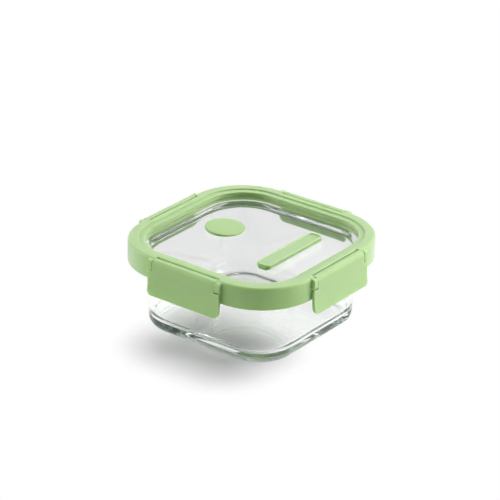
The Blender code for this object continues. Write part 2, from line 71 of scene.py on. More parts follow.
# Steps that curves are drawn in, and sides of round pieces
CORNER_STEPS = 28
BOWL_STEPS = 16
RIM_STEPS = 6
MOUTH_STEPS = 12
SECTION_STEPS = 6
EAR_STEPS = 8
SLOT_EDGE_STEPS = 6
SLOT_STEPS = 12
WINDOW_STEPS = 4
LUG_STEPS = 16
FLARE_STEPS = 14
BARREL_FRONT_STEPS = 10
BARREL_CORNER_STEPS = 5
BARREL_BACK_STEPS = 12
CLIP_CORNER_STEPS = 10
PLUG_STEPS = 10
STEM_STEPS = 6
LEVER_CORNER_STEPS = 10
TAIL_STEPS = 16
BELLY_STEPS = 8
LEVER_EDGE_STEPS = 4
DISH_STEPS = 6
SWING_STEPS = 8
PAD_STEPS = 4
PIN_SIDES = 24
VENT_SIDES = 32
PAD_SIDES = 40
PLUG_HOLE_SIDES = 64
PLUG_SIDES = 96

# Soft edges that pieces get last, on every edge sharper than an angle
SHARP_ANGLE = math.radians(40)
SOFT_EDGE_STEPS = 3
FRAME_SOFT_EDGE = 0.2 * MM
WINDOW_SOFT_EDGE = 0.12 * MM
LEVER_SOFT_EDGE = 0.15 * MM

# Clearances
FIT_GAP = 0.3 * MM
SEAT_GAP = 0.15 * MM
HINGE_GAP = 0.2 * MM
VENT_CLEARANCE = 0.4 * MM
CUT_MARGIN = 2.0 * MM

# Glass bowl
RIM_HALF = BOWL_HIGH.x
BOWL_HEIGHT = BOWL_HIGH.z
RIM_REACH = 8.6 * MM
RIM_DEPTH = 4.5 * MM
RIM_ROUND = 1.2 * MM
MOUTH_ROUND = 3.4 * MM
BOWL_DRAFT = 2.5 * MM
BOWL_WALL = 3.8 * MM
BOWL_FLOOR = 6.0 * MM
FOOT_ROUND = 7.0 * MM
FOOT_RING = 5.0 * MM
FOOT_RECESS = 0.5 * MM
INNER_ROUND = 8.0 * MM
NECK_ROUND = 1.6 * MM

# Recess under the bowl: each point's way in from the foot, in ring widths, and its share of the depth
RECESS_POINTS = ((2.0, 1.0), (1.0, 1.0), (0.7, 0.4), (0.4, 0.0))

# Heights on the drafted wall that get an outline of their own, as shares of the rim's height
WALL_SHARES = (0.4, 0.7, 0.9)

# Lid frame
FRAME_TOP = FRAME_HIGH.z
FRAME_BOTTOM = FRAME_LOW.z
SKIRT_WALL = 2.0 * MM
SKIRT_ROUND = 0.6 * MM
FRAME_BEAM = 5.6 * MM
BEAM_STAND = 0.8 * MM
CHANNEL_WIDTH = 3.8 * MM
CHANNEL_COVER = 2.2 * MM
LEDGE = 2.2 * MM
LIP_WIDTH = 4.6 * MM
LIP_DROP = 1.1 * MM
LIP_THICK = 1.2 * MM
LIP_ROUND = 0.55 * MM
COVE_DEPTH = 0.9 * MM
COVE_ROUND = 0.3 * MM
STEP_ROUND = 0.4 * MM
EDGE_ROUND = 2.0 * MM

# Clear window in the frame
WINDOW_THICK = 2.5 * MM
WINDOW_BITE = 1.6 * MM
WINDOW_ROUND = 0.4 * MM

# Clips and the ears that carry them
CLIP_GAP = 0.9 * MM
CLIP_PLATE = 2.3 * MM
CLIP_FLARE = 1.3 * MM
FLARE_LENGTH = 14.0 * MM
CLIP_CORNER = 4.0 * MM
CLIP_ROUND = 0.45 * MM
BARREL_RADIUS = 2.8 * MM
BARREL_CORNER = 0.6 * MM
SLOT_ROUND = 1.0 * MM
SLOT_EDGE_TURN = 80.0
EAR_WIDTH = 3.5 * MM
EAR_ABOVE = 2.5 * MM
EAR_BELOW = 5.2 * MM
EAR_ROUND = 1.5 * MM
EAR_GAP = 0.7 * MM
EAR_SKIN = 0.9 * MM
PIN_RADIUS = 1.1 * MM
CATCH_LENGTH = 40.0 * MM
CATCH_HEIGHT = 3.2 * MM
CATCH_CLEARANCE = 0.4 * MM
NOTCH_GAP = 0.6 * MM

# Round vent plug
PLUG_CAP = 2.0 * MM
PLUG_CROWN = 0.3 * MM
PLUG_LEAN = 0.55
PLUG_LEAN_TURN = math.radians(217.0)
PLUG_STEM_RADIUS = 7.0 * MM

# Vent lever
LEVER_CORNER = 3.5 * MM
TAIL_CORNER = 4.5 * MM
LEAST_CORNER = 0.1 * MM
LEVER_SIDE = 2.3 * MM
LEVER_RIM = 1.5 * MM
LEVER_EDGE = 0.5 * MM
DISH_DEPTH = 0.9 * MM
DISH_FRONT_DEPTH = 0.3 * MM
DISH_START = 0.75 * LEVER_RIM
DISH_SLOPE = 0.6 * LEVER_RIM
DISH_FLOOR = 2.0 * LEVER_RIM
TAIL_EDGE = 1.0 * MM
LUG_WIDTH = 3.6 * MM
LUG_WALL = 0.4 * MM
LEVER_PIN_RADIUS = 0.7 * MM
PIN_BREAK = 0.15 * MM

# Silicone pad under the lever and seal in the frame
NUB_RADIUS = 1.4 * MM
NUB_LENGTH = 1.4 * MM
PAD_HEIGHT = 1.5 * MM
PAD_WALL = 0.65 * MM
PAD_ROUND = 0.25 * MM
SEAL_LIP_WIDTH = 1.8 * MM
SEAL_LIP_HEIGHT = 1.9 * MM
SEAL_LIP_ROUND = 0.98 * SEAL_LIP_WIDTH / 2
SEAL_ROUND = 0.4 * MM

# Places that follow from the sizes above
BOWL_HALF = RIM_HALF - RIM_REACH
RIM_UNDERSIDE = BOWL_HEIGHT - RIM_DEPTH
FOOT_HALF = BOWL_HALF - BOWL_DRAFT
CLIP_FACE = FRAME_HIGH.x
FRAME_HALF = CLIP_FACE - CLIP_GAP - CLIP_PLATE
WINDOW_HALF = PANE_HIGH.x
WINDOW_BOTTOM = PANE_LOW.z
WINDOW_TOP = WINDOW_BOTTOM + WINDOW_THICK
LEDGE_BOTTOM = WINDOW_BOTTOM - LEDGE
OPENING_HALF = WINDOW_HALF - WINDOW_BITE
GROOVE_HALF = WINDOW_HALF + SEAT_GAP
BEAM_BOTTOM = BOWL_HEIGHT + BEAM_STAND
CHANNEL_OUTER = FRAME_HALF - FRAME_BEAM
CHANNEL_INNER = CHANNEL_OUTER - CHANNEL_WIDTH
CHANNEL_ROOF = FRAME_TOP - CHANNEL_COVER
PIVOT_HALF = HINGES["back_clip_hinge"].y
PIVOT_Z = HINGES["back_clip_hinge"].z
BARREL_SQUARE = BARREL_RADIUS - BARREL_CORNER
BARREL_SWING = math.hypot(BARREL_SQUARE, BARREL_SQUARE) + BARREL_CORNER
SLOT_WALL = PIVOT_HALF - BARREL_SWING - FIT_GAP
CLIP_HALF = CLIP_HIGH.x
CLIP_DROP = PIVOT_Z - CLIP_LOW.z
EAR_INNER = CLIP_HALF - EAR_WIDTH
CLIP_NECK = EAR_INNER - EAR_GAP
PIN_END = CLIP_HALF - EAR_SKIN - FIT_GAP
CLIP_SHOULDER = EAR_BELOW + EAR_GAP
CATCH_TOP = RIM_UNDERSIDE - CATCH_CLEARANCE
LEVER_HINGE = HINGES["vent_lever_hinge"]
LEVER_REACH = LEVER_HINGE.y - LEVER_LOW.y
LEVER_TAIL = LEVER_HIGH.y - LEVER_HINGE.y
LEVER_WIDTH = LEVER_HIGH.x - LEVER_LOW.x
LEVER_TOP = LEVER_HIGH.z - LEVER_HINGE.z
LEVER_BOTTOM = LEVER_LOW.z - LEVER_HINGE.z
EYE_RADIUS = LEVER_PIN_RADIUS + HINGE_GAP / 2
LUG_EYE_RADIUS = LEVER_PIN_RADIUS + HINGE_GAP
LUG_RADIUS = LUG_EYE_RADIUS + LUG_WALL
FORK_ROOM = LUG_RADIUS + FIT_GAP
TAIL_SWING = LEVER_HINGE.z - WINDOW_TOP - HINGE_GAP
PLUG_CENTRE = (PLUG_LOW + PLUG_HIGH) / 2
PLUG_RADIUS = (PLUG_HIGH.x - PLUG_LOW.x) / 2
PAD_CENTRE = (PAD_LOW + PAD_HIGH) / 2
PAD_RADIUS = (PAD_HIGH.x - PAD_LOW.x) / 2
KEEL_HALF = PAD_RADIUS + SEAT_GAP + PAD_WALL

# Each side of the lid, as its name and the turn that takes +Y to the way it faces
SIDES = (("back", 0.0), ("left", 90.0), ("front", 180.0), ("right", 270.0))

# Colours
LEAF_GREEN = (0.375, 0.600, 0.205, 1.0)
LEAF_GREEN_DEEP = (0.355, 0.580, 0.190, 1.0)
WHITE = (1.0, 1.0, 1.0, 1.0)
# Floor paper as the eye sees it in the shadow zone, darker than the paper that bounces light: painted shade
# laid over the real shadow there
PAINTED_SHADE_PAPER = (0.62, 0.62, 0.62, 1.0)
LIT_PAPER = (0.80, 0.80, 0.80, 1.0)
ROOM_LIGHT_COLOUR = (0.97, 0.98, 1.0, 1.0)

# Stretch of a noise pattern's values that takes a colour or a roughness from one end to the other
COLOUR_SPAN = (0.35, 0.65)
ROUGHNESS_SPAN = (0.3, 0.7)

# Camera at the photograph's viewing angle
CAMERA_TURN = math.radians(37.036)
CAMERA_RISE = math.radians(25.848)
CAMERA_ROLL = math.radians(1.069)
CAMERA_DISTANCE = 1.7248
CAMERA_LENS = 170.09
CAMERA_SENSOR = 36.0
CAMERA_SIGHT = 100.0
CAMERA_TARGET = Vector((0.0, 0.0, 0.035))
AIM_ABOVE = 18.217 * MM
AIM_LEFT = 1.326 * MM

# Ways as the camera sees them
BACK = Vector((
    math.sin(CAMERA_TURN) * math.cos(CAMERA_RISE),
    -math.cos(CAMERA_TURN) * math.cos(CAMERA_RISE),
    math.sin(CAMERA_RISE),
))
RIGHT = Vector((math.cos(CAMERA_TURN), math.sin(CAMERA_TURN), 0.0))
AWAY = Vector((-math.sin(CAMERA_TURN), math.cos(CAMERA_TURN), 0.0))
UP = Vector((0.0, 0.0, 1.0))

# Square lamps: name, place, width in metres and power in watts
LAMPS = (
    ("back_softbox", RIGHT * 0.75 + AWAY * 0.7 + UP * 1.3, 1.1, 20.0),
    ("right_softbox", RIGHT * 1.2 - AWAY * 0.1 + UP * 0.4, 0.8, 10.5),
    ("left_softbox", RIGHT * -1.2 + AWAY * 0.15 + UP * 0.5, 1.2, 14.0),
)
LAMP_TARGET = Vector((0.0, 0.0, 0.04))

# Surroundings: an even light, and walls seen by the eye that darken as the line of sight rises
ROOM_LIGHT = 0.16
WALL_RISE = (0.12, 0.34)
WALL_BRIGHTNESS = (1.0, 0.10)

# Floor, with the zone where it keeps its shadow and its paper is painted darker to the eye as painted shade,
# and how far from there it turns plain white
FLOOR_REACH = 6.0
FLOOR_DROP = 0.05 * MM
SHADOW_CENTRE = Vector((8.0, -56.0, 0.0)) * MM
SHADOW_HALF = Vector((18.0, 11.0, 0.0)) * MM
SHADOW_FADE = 55.0 * MM

# How often light may bounce, and pass clear faces
LIGHT_BOUNCES = 32
CLEAR_PASSES = 24


def connect(tree, source, output, target, socket):
    """Links one node's output to another node's input."""
    tree.links.new(source.outputs[output], target.inputs[socket])


def new_look(name):
    """An empty node material with its tree, shader and object coordinates."""
    look = bpy.data.materials.new(name)
    look.use_nodes = True
    tree = look.node_tree
    shader = tree.nodes["Principled BSDF"]
    place = tree.nodes.new("ShaderNodeTexCoord")
    return look, tree, shader, place


def mix_shaders(tree, source, output, first, second):
    """Blends from a first shader to a second by another node's output."""
    mixed = tree.nodes.new("ShaderNodeMixShader")
    connect(tree, source, output, mixed, "Fac")
    connect(tree, first, 0, mixed, 1)
    connect(tree, second, 0, mixed, 2)
    return mixed


def remap(tree, source, output, before, after):
    """Takes another node's output from one range of values to another, and no further."""
    made = tree.nodes.new("ShaderNodeMapRange")
    made.inputs["From Min"].default_value = before[0]
    made.inputs["From Max"].default_value = before[1]
    made.inputs["To Min"].default_value = after[0]
    made.inputs["To Max"].default_value = after[1]
    connect(tree, source, output, made, "Value")
    return made


def noise(tree, place, scale, detail):
    """A noise pattern in the piece's own coordinates, with its scale in features to the metre."""
    made = tree.nodes.new("ShaderNodeTexNoise")
    made.inputs["Scale"].default_value = scale
    made.inputs["Detail"].default_value = detail
    connect(tree, place, "Object", made, "Vector")
    return made


def vary_colour(tree, pattern, shader, first, second):
    """Blends the shader's colour between two colours by a pattern."""
    ramp = tree.nodes.new("ShaderNodeValToRGB")
    for stop, position, colour in zip(ramp.color_ramp.elements, COLOUR_SPAN, (first, second)):
        stop.position = position
        stop.color = colour
    connect(tree, pattern, "Fac", ramp, "Fac")
    connect(tree, ramp, "Color", shader, "Base Color")


def vary_roughness(tree, pattern, shader, low, high):
    """Lets the shader's roughness follow a pattern between two values."""
    spread = remap(tree, pattern, "Fac", ROUGHNESS_SPAN, (low, high))
    connect(tree, spread, "Result", shader, "Roughness")


def add_bump(tree, pattern, shader, height, strength):
    """Raises a fine relief of a given height from a pattern."""
    bump = tree.nodes.new("ShaderNodeBump")
    bump.inputs["Distance"].default_value = height
    bump.inputs["Strength"].default_value = strength
    connect(tree, pattern, "Fac", bump, "Height")
    connect(tree, bump, "Normal", shader, "Normal")


def green_plastic():
    """Satin, slightly translucent moulded polypropylene."""
    look, tree, shader, place = new_look("green_plastic_look")
    vary_colour(tree, noise(tree, place, scale=40.0, detail=3.0), shader, LEAF_GREEN_DEEP, LEAF_GREEN)
    vary_roughness(tree, noise(tree, place, scale=700.0, detail=2.0), shader, low=0.36, high=0.46)
    add_bump(tree, noise(tree, place, scale=2600.0, detail=2.0), shader, height=0.01 * MM, strength=0.5)
    shader.inputs["IOR"].default_value = 1.49
    shader.inputs["Sheen Weight"].default_value = 0.9
    shader.inputs["Sheen Roughness"].default_value = 0.52
    shader.inputs["Subsurface Weight"].default_value = 0.9
    shader.inputs["Subsurface Radius"].default_value = (0.9, 1.0, 0.5)
    shader.inputs["Subsurface Scale"].default_value = 4.0 * MM
    return look


def green_silicone():
    """Soft matt silicone in the same green."""
    look, tree, shader, place = new_look("green_silicone_look")
    vary_colour(tree, noise(tree, place, scale=60.0, detail=3.0), shader, LEAF_GREEN_DEEP, LEAF_GREEN)
    vary_roughness(tree, noise(tree, place, scale=900.0, detail=2.0), shader, low=0.48, high=0.60)
    add_bump(tree, noise(tree, place, scale=3500.0, detail=2.0), shader, height=0.01 * MM, strength=0.5)
    shader.inputs["IOR"].default_value = 1.43
    shader.inputs["Sheen Weight"].default_value = 0.6
    shader.inputs["Sheen Roughness"].default_value = 0.5
    shader.inputs["Subsurface Weight"].default_value = 0.3
    shader.inputs["Subsurface Radius"].default_value = (0.6, 1.0, 0.3)
    shader.inputs["Subsurface Scale"].default_value = 1.5 * MM
    return look


def pale_silicone():
    """Milky silicone of the seal and the vent pad."""
    look, tree, shader, place = new_look("pale_silicone_look")
    milk = (0.80, 0.82, 0.80, 1.0)
    haze = (0.74, 0.77, 0.75, 1.0)
    vary_colour(tree, noise(tree, place, scale=80.0, detail=3.0), shader, haze, milk)
    vary_roughness(tree, noise(tree, place, scale=900.0, detail=2.0), shader, low=0.46, high=0.58)
    add_bump(tree, noise(tree, place, scale=3500.0, detail=2.0), shader, height=0.01 * MM, strength=0.4)
    shader.inputs["IOR"].default_value = 1.42
    shader.inputs["Subsurface Weight"].default_value = 0.5
    shader.inputs["Subsurface Radius"].default_value = (1.0, 1.0, 1.0)
    shader.inputs["Subsurface Scale"].default_value = 2.0 * MM
    return look


def let_lamps_through(tree, shader, tint):
    """Lets lamp light pass straight through a clear piece, dimmed by a tint, so its shadow isn't black."""
    path = tree.nodes.new("ShaderNodeLightPath")
    pass_on = tree.nodes.new("ShaderNodeBsdfTransparent")
    pass_on.inputs["Color"].default_value = tint
    choose = mix_shaders(tree, path, "Is Shadow Ray", shader, pass_on)
    connect(tree, choose, "Shader", tree.nodes["Material Output"], "Surface")


def bowl_glass():
    """Clear pressed glass with a faint green body and slightly uneven faces."""
    look, tree, shader, place = new_look("bowl_glass_look")
    faint = (0.985, 0.995, 0.990, 1.0)
    vary_colour(tree, noise(tree, place, scale=30.0, detail=2.0), shader, faint, WHITE)
    vary_roughness(tree, noise(tree, place, scale=120.0, detail=3.0), shader, low=0.0, high=0.02)
    add_bump(tree, noise(tree, place, scale=45.0, detail=1.0), shader, height=0.25 * MM, strength=0.2)
    shader.inputs["Transmission Weight"].default_value = 1.0
    shader.inputs["IOR"].default_value = 1.51
    body = tree.nodes.new("ShaderNodeVolumeAbsorption")
    body.inputs["Color"].default_value = (0.76, 0.84, 0.80, 1.0)
    body.inputs["Density"].default_value = 8.0
    connect(tree, body, "Volume", tree.nodes["Material Output"], "Volume")
    let_lamps_through(tree, shader, tint=(0.47, 0.48, 0.48, 1.0))
    return look


def clear_plastic():
    """Clear moulded window with a very faint haze."""
    look, tree, shader, place = new_look("clear_plastic_look")
    faint = (0.985, 0.985, 0.990, 1.0)
    vary_colour(tree, noise(tree, place, scale=30.0, detail=2.0), shader, faint, WHITE)
    vary_roughness(tree, noise(tree, place, scale=160.0, detail=3.0), shader, low=0.01, high=0.05)
    add_bump(tree, noise(tree, place, scale=35.0, detail=1.0), shader, height=0.1 * MM, strength=0.15)
    shader.inputs["Transmission Weight"].default_value = 1.0
    shader.inputs["IOR"].default_value = 1.49
    let_lamps_through(tree, shader, tint=(0.80, 0.80, 0.81, 1.0))
    return look


def steel():
    """Drawn stainless wire."""
    look, tree, shader, place = new_look("steel_look")
    dark = (0.56, 0.56, 0.57, 1.0)
    bright = (0.64, 0.64, 0.65, 1.0)
    vary_colour(tree, noise(tree, place, scale=900.0, detail=2.0), shader, dark, bright)
    vary_roughness(tree, noise(tree, place, scale=2500.0, detail=2.0), shader, low=0.22, high=0.34)
    add_bump(tree, noise(tree, place, scale=5000.0, detail=2.0), shader, height=0.005 * MM, strength=0.4)
    shader.inputs["Metallic"].default_value = 1.0
    return look


def rounded(corners, steps):
    """A closed outline through corners given as two coordinates and the radius of the turn there."""
    points = []
    for index, (across, up, radius) in enumerate(corners):
        here = Vector((across, up))
        if radius == 0.0:
            points.append(here)
            continue
        before = (Vector(corners[index - 1][:2]) - here).normalized()
        after = (Vector(corners[(index + 1) % len(corners)][:2]) - here).normalized()
        half_angle = before.angle(after) / 2
        centre = here + (before + after).normalized() * radius / math.sin(half_angle)
        first = here + before * radius / math.tan(half_angle) - centre
        last = here + after * radius / math.tan(half_angle) - centre
        points += [centre + first.slerp(last, step / steps) * radius for step in range(steps + 1)]
    return points


def arc(centre, radius, first, last, steps):
    """Points on an arc, with its angles in degrees from the first axis."""
    points = []
    for step in range(steps + 1):
        angle = math.radians(first + (last - first) * step / steps)
        points.append((centre[0] + radius * math.cos(angle), centre[1] + radius * math.sin(angle)))
    return points


def square_outline(half, height):
    """Points round a rounded square whose sides keep the same straight run."""
    radius = half - STRAIGHT_HALF
    points = []
    for corner in range(4):
        start = corner * math.pi / 2
        middle = start + math.pi / 4
        centre = Vector((math.cos(middle), math.sin(middle), 0.0)) * STRAIGHT_HALF * math.sqrt(2)
        for step in range(CORNER_STEPS + 1):
            angle = start + math.pi / 2 * step / CORNER_STEPS
            reach = Vector((math.cos(angle), math.sin(angle), 0.0)) * radius
            points.append(centre + reach + Vector((0.0, 0.0, height)))
    return points


def skin(rings, closed):
    """Skins rings of points into a closed band, or into a solid with its first and last ring capped."""
    shape = bmesh.new()
    loops = [[shape.verts.new(point) for point in ring] for ring in rings]
    neighbours = list(zip(loops, loops[1:]))
    if closed:
        neighbours.append((loops[-1], loops[0]))
    for first, second in neighbours:
        for index, start in enumerate(first):
            following = (index + 1) % len(first)
            shape.faces.new((start, first[following], second[following], second[index]))
    if not closed:
        shape.faces.new(loops[0])
        shape.faces.new(loops[-1])
    return shape


def square_skin(levels, closed):
    """Skins rounded squares, each given as its half width and its height."""
    return skin([square_outline(*level) for level in levels], closed)


def mirrored(right):
    """Closes the right half of an outline with its mirror image."""
    return right + [(-across, along) for across, along in reversed(right)]


def run_on(side, near, far):
    """Low and high end of a run on one side of the middle, which is -1 or 1."""
    return sorted((side * near, side * far))


def prism(points, axis, low, high):
    """Extrudes a closed outline along X, Y or Z; it is given in the other two axes, in order."""
    place = {
        "X": lambda a, b, run: (run, a, b),
        "Y": lambda a, b, run: (a, run, b),
        "Z": lambda a, b, run: (a, b, run),
    }[axis]
    return skin([[place(a, b, run) for a, b in points] for run in (low, high)], closed=False)


def turned(profile, steps):
    """Turns a profile of radius and height, from the axis at its top down to the axis, about Z."""
    shape = bmesh.new()
    rings = []
    for radius, height in profile:
        count = 1 if radius == 0.0 else steps
        angles = [2 * math.pi * step / steps for step in range(count)]
        points = [(radius * math.cos(angle), radius * math.sin(angle), height) for angle in angles]
        rings.append([shape.verts.new(point) for point in points])
    for first, second in zip(rings, rings[1:]):
        for index in range(steps):
            following = (index + 1) % steps
            corners = [first[index % len(first)], first[following % len(first)]]
            corners += [second[following % len(second)], second[index % len(second)]]
            shape.faces.new(list(dict.fromkeys(corners)))
    return shape


def rod(axis, centre, radius, low, high, sides):
    """A capped cylinder along X or Z, with its other two coordinates in centre."""
    return prism(arc(centre, radius, 0.0, 360.0 - 360.0 / sides, sides - 1), axis, low, high)


def placed(shape, matrix):
    """A shape, moved by a matrix."""
    shape.transform(matrix)
    return shape


def face_out(shape):
    """Turns every face of a closed shape outwards."""
    bmesh.ops.recalc_face_normals(shape, faces=shape.faces)
    if shape.calc_volume(signed=True) < 0.0:
        bmesh.ops.reverse_faces(shape, faces=shape.faces)


def mesh_of(name, shapes):
    """One mesh out of one or more closed shapes."""
    mesh = bpy.data.meshes.new(name)
    whole = bmesh.new()
    for shape in shapes:
        face_out(shape)
        shape.to_mesh(mesh)
        shape.free()
        whole.from_mesh(mesh)
    whole.to_mesh(mesh)
    whole.free()
    return mesh


def new_piece(name, shape):
    """A piece of the object, made from a closed shape."""
    piece = bpy.data.objects.new(name, mesh_of(name, [shape]))
    bpy.context.scene.collection.objects.link(piece)
    return piece


def combine(piece, shapes, operation):
    """Joins some closed shapes to a piece, cuts them from it or trims it to them."""
    tool = bpy.data.objects.new("tool", mesh_of("tool", shapes))
    bpy.context.scene.collection.objects.link(tool)
    step = piece.modifiers.new("step", "BOOLEAN")
    step.object = tool
    step.operation = operation
    step.solver = "EXACT"
    graph = bpy.context.evaluated_depsgraph_get()
    made = bpy.data.meshes.new_from_object(piece.evaluated_get(graph))
    piece.modifiers.clear()
    piece.data = made
    bpy.data.objects.remove(tool, do_unlink=True)


def finish_piece(piece, look, body, node, edge=0.0):
    """Gives a piece its material and soft edges, and puts it on its body in place of a node."""
    piece.data.materials.clear()
    piece.data.materials.append(look)
    piece.data.shade_smooth()
    piece.data.set_sharp_from_angle(angle=SHARP_ANGLE)
    if edge > 0.0:
        bevel = piece.modifiers.new("rounded edges", "BEVEL")
        bevel.width = edge
        bevel.segments = SOFT_EDGE_STEPS
        bevel.limit_method = "ANGLE"
        bevel.angle_limit = SHARP_ANGLE
        bevel.use_clamp_overlap = True
        even = piece.modifiers.new("even shading", "WEIGHTED_NORMAL")
        even.keep_sharp = False
    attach(piece, body)
    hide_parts(node)
    return piece


def side_matrix(turn):
    """Takes a shape made for the back side to the side with the given turn."""
    return Matrix.Rotation(math.radians(turn), 4, "Z")


def bowl_wall(height):
    """Half width of the bowl's drafted outer wall at a height."""
    share = (height - FOOT_ROUND) / (RIM_UNDERSIDE - FOOT_ROUND)
    return FOOT_HALF + (BOWL_HALF - FOOT_HALF) * share


def make_bowl(look):
    """Pressed glass bowl: standing ring, thick floor, drafted wall and a rim that reaches out."""
    neck = bowl_wall(RIM_UNDERSIDE)
    mouth = bowl_wall(BOWL_HEIGHT) - BOWL_WALL
    turn_height = BOWL_FLOOR + INNER_ROUND
    inner = bowl_wall(turn_height) - BOWL_WALL - INNER_ROUND
    ring = FOOT_HALF - FOOT_ROUND
    rim = RIM_HALF - RIM_ROUND
    levels = [(ring - FOOT_RING * inward, FOOT_RECESS * deep) for inward, deep in RECESS_POINTS]
    levels += arc((ring, FOOT_ROUND), FOOT_ROUND, -90, 0, BOWL_STEPS)
    levels += [(bowl_wall(RIM_UNDERSIDE * share), RIM_UNDERSIDE * share) for share in WALL_SHARES]
    levels += arc((neck + NECK_ROUND, RIM_UNDERSIDE - NECK_ROUND), NECK_ROUND, 180, 90, RIM_STEPS)
    levels += arc((rim, RIM_UNDERSIDE + RIM_ROUND), RIM_ROUND, -90, 0, RIM_STEPS)
    levels += arc((rim, BOWL_HEIGHT - RIM_ROUND), RIM_ROUND, 0, 90, RIM_STEPS)
    levels += arc((mouth + MOUTH_ROUND, BOWL_HEIGHT - MOUTH_ROUND), MOUTH_ROUND, 90, 180, MOUTH_STEPS)
    levels += arc((inner, turn_height), INNER_ROUND, 0, -90, BOWL_STEPS)
    levels.append((inner - INNER_ROUND, BOWL_FLOOR))
    piece = new_piece("bowl_shell", square_skin(levels, closed=False))
    return finish_piece(piece, look, "bowl", "glass_bowl")


def frame_section():
    """Outline of the lid frame's ring, with each corner's radius."""
    lip_top = FRAME_TOP - LIP_DROP
    return [
        (FRAME_HALF, FRAME_BOTTOM, SKIRT_ROUND),
        (FRAME_HALF, FRAME_TOP, EDGE_ROUND),
        (OPENING_HALF + LIP_WIDTH, FRAME_TOP, STEP_ROUND),
        (OPENING_HALF + LIP_WIDTH, lip_top, STEP_ROUND),
        (OPENING_HALF, lip_top, LIP_ROUND),
        (OPENING_HALF, lip_top - LIP_THICK, LIP_ROUND),
        (OPENING_HALF + COVE_DEPTH, lip_top - LIP_THICK, COVE_ROUND),
        (OPENING_HALF, WINDOW_TOP + SEAT_GAP, 0.0),
        (GROOVE_HALF, WINDOW_TOP + SEAT_GAP, 0.0),
        (GROOVE_HALF, WINDOW_BOTTOM - SEAT_GAP, 0.0),
        (OPENING_HALF, WINDOW_BOTTOM - SEAT_GAP, 0.0),
        (OPENING_HALF, LEDGE_BOTTOM, STEP_ROUND),
        (CHANNEL_INNER, LEDGE_BOTTOM, 0.0),
        (CHANNEL_INNER, CHANNEL_ROOF, STEP_ROUND),
        (CHANNEL_OUTER, CHANNEL_ROOF, STEP_ROUND),
        (CHANNEL_OUTER, BEAM_BOTTOM, STEP_ROUND),
        (FRAME_HALF - SKIRT_WALL, BEAM_BOTTOM, STEP_ROUND),
        (FRAME_HALF - SKIRT_WALL, FRAME_BOTTOM, SKIRT_ROUND),
    ]


def ear_shape(matrix, side):
    """One ear of a clip's hinge: a round-edged block that stands out of the frame."""
    root = FRAME_HALF - FRAME_BEAM / 2
    low, high = PIVOT_Z - EAR_BELOW, PIVOT_Z + EAR_ABOVE
    outer = CLIP_FACE - EAR_ROUND
    points = [(root, high), (root, low)]
    points += arc((outer, low + EAR_ROUND), EAR_ROUND, -90, 0, EAR_STEPS)
    points += arc((outer, high - EAR_ROUND), EAR_ROUND, 0, 90, EAR_STEPS)
    return placed(prism(points, "X", *run_on(side, EAR_INNER, CLIP_HALF)), matrix)


def pocket_shape(matrix):
    """Room for a clip's barrel to turn in, open at the top and outside, with a soft top edge."""
    room = PIVOT_HALF - SLOT_WALL
    above = FRAME_TOP + CUT_MARGIN
    beyond = CLIP_FACE + CUT_MARGIN
    edge_centre = (SLOT_WALL - SLOT_ROUND, FRAME_TOP - SLOT_ROUND)
    edge = arc(edge_centre, SLOT_ROUND, SLOT_EDGE_TURN, 0, SLOT_EDGE_STEPS)
    points = [(edge[0][0], above)] + edge
    points += arc((PIVOT_HALF, PIVOT_Z), room, 180, 270, SLOT_STEPS)
    points += [(beyond, PIVOT_Z - room), (beyond, above)]
    end = EAR_INNER - EAR_GAP / 2
    return placed(prism(points, "X", -end, end), matrix)


def notch_shape(matrix):
    """Cut in the skirt that lets a clip's catch through."""
    half = CATCH_LENGTH / 2 + NOTCH_GAP
    low, high = FRAME_BOTTOM - CUT_MARGIN, CATCH_TOP + NOTCH_GAP
    beyond = FRAME_HALF + CUT_MARGIN
    points = [(RIM_HALF, low), (beyond, low), (beyond, high), (RIM_HALF, high)]
    return placed(prism(points, "X", -half, half), matrix)


def pin_hole(matrix, side):
    """Blind hole in an ear for the pin at one end of a clip."""
    low, high = run_on(side, CLIP_NECK, PIN_END + FIT_GAP)
    hole = rod("X", (PIVOT_HALF, PIVOT_Z), PIN_RADIUS + HINGE_GAP, low, high, PIN_SIDES)
    return placed(hole, matrix)


def make_frame(look):
    """Lid frame: ring, skirt and seal channel, with ears, slots and notches for the clips."""
    levels = rounded(frame_section(), SECTION_STEPS)
    piece = new_piece("lid_ring", square_skin(levels, closed=True))
    turns = [side_matrix(turn) for name, turn in SIDES]
    combine(piece, [ear_shape(matrix, side) for matrix in turns for side in (-1, 1)], "UNION")
    combine(piece, [pocket_shape(matrix) for matrix in turns], "DIFFERENCE")
    combine(piece, [notch_shape(matrix) for matrix in turns], "DIFFERENCE")
    combine(piece, [pin_hole(matrix, side) for matrix in turns for side in (-1, 1)], "DIFFERENCE")
    return finish_piece(piece, look, "lid", "lid_frame", FRAME_SOFT_EDGE)


